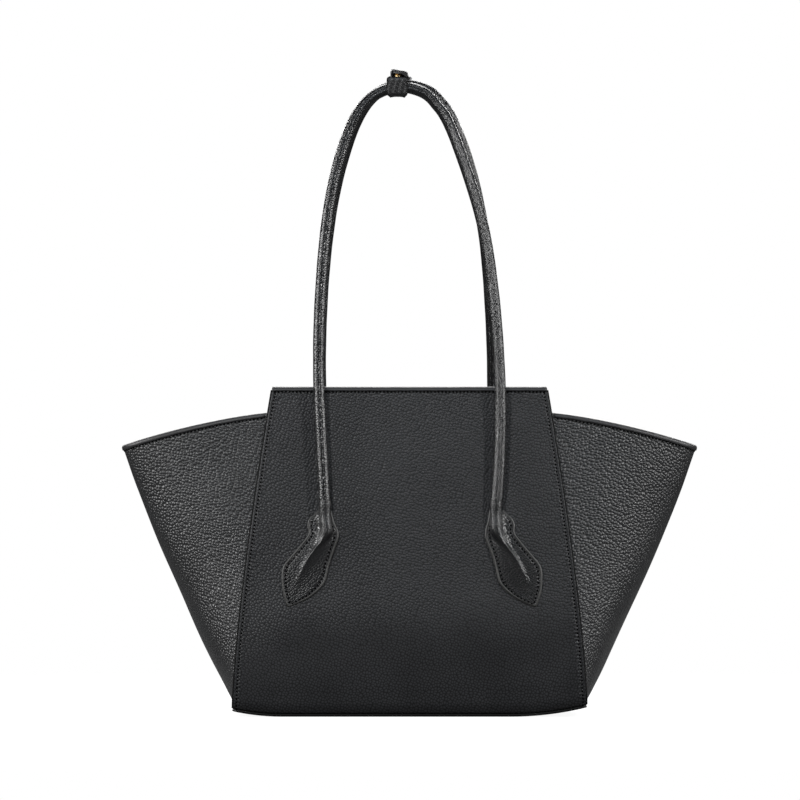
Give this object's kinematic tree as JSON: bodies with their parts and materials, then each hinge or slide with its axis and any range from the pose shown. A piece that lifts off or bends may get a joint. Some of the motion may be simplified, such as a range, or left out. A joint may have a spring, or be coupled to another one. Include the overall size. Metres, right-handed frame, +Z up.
{
  "type": "winged shopper bag",
  "caption": "Leather shopper bag with flared wings, a flat base, an open top with a magnetic snap, and tall tubular handles held together by a keeper.",
  "frame": {"origin": "under the middle of the base, on the surface the bag stands on", "axes": "+X to the right wing as the front is seen, +Z up, the front faces -Y"},
  "size_m": [0.4904, 0.151, 0.5505],
  "materials": {
    "leather": "pebbled black leather, semi-matt",
    "handle_leather": "pebbled black leather rolled round a rope, semi-matt",
    "lining": "woven lining cloth",
    "board": "stiff pressed board",
    "rope": "twisted cotton rope",
    "brass": "pale gold plated",
    "steel": "nickel plated"
  },
  "bodies": {
    "bag": {"front_panel": "leather", "back_panel": "leather", "left_gusset": "leather", "right_gusset": "leather", "base_panel": "leather", "base_board": "board", "base_lining": "lining", "front_top_binding": "leather", "back_top_binding": "leather", "left_gusset_binding": "leather", "right_gusset_binding": "leather", "front_facing": "leather", "back_facing": "leather", "left_wing_facing": "leather", "right_wing_facing": "leather", "front_lining": "lining", "back_lining": "lining", "left_wing_lining": "lining", "right_wing_lining": "lining", "zip_pocket_panel": "lining", "zip_tape": "lining", "zip_frame": "leather", "slip_pocket_panel": "lining", "magnetic_snap_stud": "brass", "magnetic_snap_socket": "brass", "front_left_handle_tab": "handle_leather", "front_right_handle_tab": "handle_leather", "back_left_handle_tab": "handle_leather", "back_right_handle_tab": "handle_leather"},
    "front_handle": {"front_handle_cover": "handle_leather", "front_handle_core": "rope"},
    "back_handle": {"back_handle_cover": "handle_leather", "back_handle_core": "rope", "keeper_band": "handle_leather", "keeper_snap_stud": "brass", "keeper_ring": "steel"},
    "keeper_flap": {"keeper_flap": "handle_leather", "keeper_snap_cap": "brass"},
    "zip_slider": {"zip_slider": "brass"},
    "zip_pull": {"zip_pull": "brass"}
  },
  "joints": [
    {"name": "front_handle_hinge", "type": "hinge", "parent": "bag", "child": "front_handle", "pos_m": [0, -0.06219, 0.178], "axis": [1, 0, 0], "range_deg": [0, 125], "deforming": ["keeper_band"]},
    {"name": "back_handle_hinge", "type": "hinge", "parent": "bag", "child": "back_handle", "pos_m": [0, 0.06219, 0.178], "axis": [-1, 0, 0], "range_deg": [0, 125], "deforming": ["keeper_band"]},
    {"name": "keeper_flap_hinge", "type": "hinge", "parent": "back_handle", "child": "keeper_flap", "pos_m": [-0.0098, 0.0116, 0.5463], "axis": [-1, 0, 0], "range_deg": [0, 120]},
    {"name": "zip_slide", "type": "slide", "parent": "bag", "child": "zip_slider", "axis": [1, 0, 0], "range_m": [0, 0.119]},
    {"name": "zip_pull_hinge", "type": "hinge", "parent": "zip_slider", "child": "zip_pull", "pos_m": [-0.0597, 0.04228, 0.21257], "axis": [-1, 0, 0], "range_deg": [-6, 150]}
  ]
}
